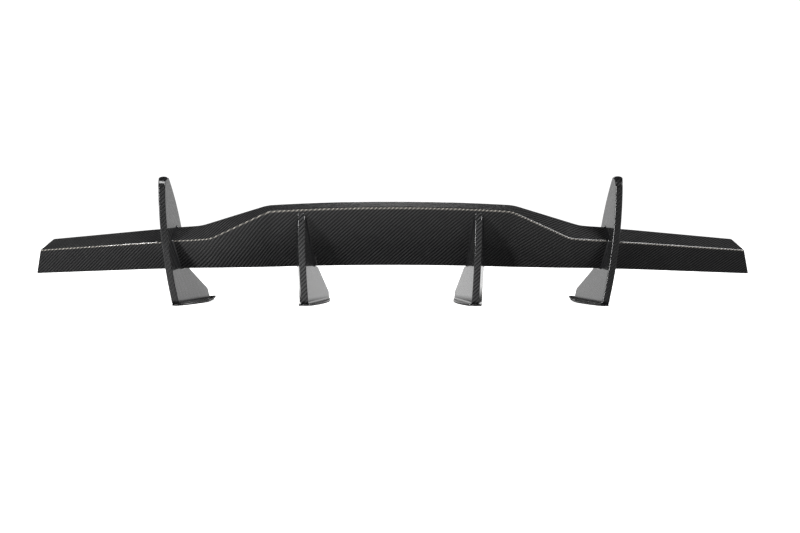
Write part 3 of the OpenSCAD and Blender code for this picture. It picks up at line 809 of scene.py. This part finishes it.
def bead(name, kind, face, direction, outline, closed):
    """A hollow bead between an upright's face and the blade, with direction from blade to face."""
    along = np.gradient(outline, axis=0)
    if closed:
        along = np.roll(outline[:-1], -1, axis=0) - np.roll(outline[:-1], 1, axis=0)
        along = np.vstack([along, along[:1]])
    outward = np.column_stack([along[:, 1], -along[:, 0]]) / np.linalg.norm(along, axis=1)[:, None]
    columns = []
    for angle in BEAD_ANGLES:
        lift = outline + outward * BEAD * (1 - math.sin(angle))
        x = face(kind, lift[:, 0], lift[:, 1]) - direction * BEAD * (1 - math.cos(angle))
        columns.append(np.column_stack([x, lift]))
    grid = np.stack(columns, axis=1)
    if direction < 0:
        grid = grid[:, ::-1]
    uv = np.stack([grid[..., 0], -grid[..., 2]], axis=2)
    for side, sign in SIDES:
        placed = grid if sign > 0 else mirrored(grid)
        normals = grid_normals(placed)
        if closed:
            normals = grid_normals(np.concatenate([placed[-2:-1], placed, placed[1:2]]))[1:-1]
        chips_and_painted_light = np.zeros(grid.shape[:2])
        shell(f"{name}_{side}_bead", placed, uv, chips_and_painted_light, resin, thickness=BEAD_T, normals=normals)


inboard_outline = section(CENTRE_END_X - 3)[0]
outboard_outline = section(TIP_ROOT_X + 7)[0]
rear_line = section(INNER["x"])[0][HALF_ARC + 1:LOW + 1]
rear_line = rear_line[rear_line[:, 1] < BEAD_TOP]
bead("inner_inboard", INNER, inboard_face, 1, rear_line, False)
bead("inner_outboard", INNER, outboard_face, -1, rear_line, False)
bead("outer_inboard", OUTER, inboard_face, 1, inboard_outline, True)
bead("outer_outboard", OUTER, outboard_face, -1, outboard_outline, True)

# ---- finishes of the frame's own parts ----

for subpart in frame["record"]["subparts"]:
    for material_slot in frame["nodes"][subpart["node"]].material_slots:
        material_slot.material = CAD_FINISHES[subpart["material_slot"]]

# ---- studio ----


def place_lamp(light, place, target):
    """A lamp with this light at a place, turned to its target."""
    lamp = bpy.data.objects.new(light.name, light)
    bpy.context.scene.collection.objects.link(lamp)
    lamp.location = place
    lamp.rotation_euler = (Vector(target) - lamp.location).to_track_quat("-Z", "Y").to_euler()


def softbox(name, place, target, size, power):
    """A rectangular area light."""
    light = bpy.data.lights.new(name, "AREA")
    light.shape = "RECTANGLE"
    light.size, light.size_y = size
    light.energy = power
    place_lamp(light, place, target)


WHITE = (1, 1, 1, 1)


def camera_sees(nodes):
    """1 for what the camera sees directly, and 0 for reflections and bounced light."""
    return nodes.add("ShaderNodeLightPath").outputs["Is Camera Ray"]


def coordinates(nodes, kind):
    """X, Y and Z of a texture coordinate."""
    parts = nodes.add("ShaderNodeSeparateXYZ")
    nodes.put(parts.inputs[0], nodes.add("ShaderNodeTexCoord").outputs[kind])
    return parts.outputs


# The camera sees a plain white floor. Reflections and bounced light see a dark floor with painted light
# instead: a glow near the camera, brighter on the left, fading to painted shadow under the wing, and
# glowing again beyond the wing.
ground = Nodes(bpy.data.materials.new("studio_floor"))
seen = camera_sees(ground)
place = coordinates(ground, "Object")
light_from_left = ground.remap(place["X"], -0.45, 0.6, 1.0, 0.22)
fade_to_wing_shadow = ground.remap(place["Y"], -0.22, -0.11, 0.6, 0.0)
beyond = ground.remap(place["Y"], 0.15, 0.6, 0.0, 0.95)
glow = ground.math("MAXIMUM", ground.math("MULTIPLY", light_from_left, fade_to_wing_shadow), beyond)
ground.shade(
    Base_Color=ground.mix(seen, (0.06, 0.06, 0.06, 1), (0.85, 0.85, 0.85, 1)),
    Roughness=0.9,
    Emission_Color=WHITE,
    Emission_Strength=ground.math("MAXIMUM", glow, seen),
)
bpy.ops.mesh.primitive_plane_add(size=40, location=(0, 0, 0))
floor = bpy.context.object
floor.name = "studio_floor"
floor.data.materials.append(ground.owner)

# The camera sees plain white surroundings. They light the wing from low down, mostly beyond it.
world = bpy.data.worlds.new("studio")
bpy.context.scene.world = world
sky = Nodes(world)
way = coordinates(sky, "Generated")
wall = sky.remap(way["Z"], 0.08, 0.26, 0.98, 0.0)
wall = sky.math("MULTIPLY", wall, sky.remap(way["Y"], -0.3, 0.2, 0.25, 1.0))
ceiling = sky.remap(way["Z"], 0.26, 0.45, 0, 1)
ceiling = sky.math("MULTIPLY", ceiling, sky.remap(way["X"], -0.12, 0.2, 0.02, 0.04))
surroundings = sky.tree.nodes["Background"]
surroundings.inputs["Color"].default_value = WHITE
sky.put(surroundings.inputs["Strength"], sky.math("ADD", wall, ceiling))
backdrop = sky.add("ShaderNodeBackground")
backdrop.inputs["Color"].default_value = WHITE
backdrop.inputs["Strength"].default_value = 1.1
choice = sky.add("ShaderNodeMixShader")
for socket, value in zip(choice.inputs, (camera_sees(sky), surroundings.outputs[0], backdrop.outputs[0])):
    sky.put(socket, value)
sky.put(sky.tree.nodes["World Output"].inputs["Surface"], choice.outputs[0])

softbox("key", (-0.9, -1.3, 2.2), (0, 0, 0.1), (0.5, 0.5), 9)
softbox("low_front", (-2.0, -1.6, 0.6), (-0.2, 0, 0.13), (0.45, 0.9), 54)
softbox("crest_light", (-0.02, 2.4, 1.42), (0, 0, 0.2), (0.5, 0.35), 5)
sun = bpy.data.lights.new("sky_panel", "SUN")
sun.energy = 3.1
sun.angle = math.radians(28)
place_lamp(sun, (1.2, -1.0, 1.3), (0, 0, 0))

camera_data = bpy.data.cameras.new("camera")
camera_data.lens = 50
camera_data.sensor_width = 36
camera = bpy.data.objects.new("camera", camera_data)
camera.location = (0.045, -2.1966, 0.130)
camera.rotation_euler = (math.radians(88.5), 0, math.radians(0.707))
bpy.context.scene.collection.objects.link(camera)
bpy.context.scene.camera = camera
bpy.context.scene.view_settings.view_transform = "Standard"
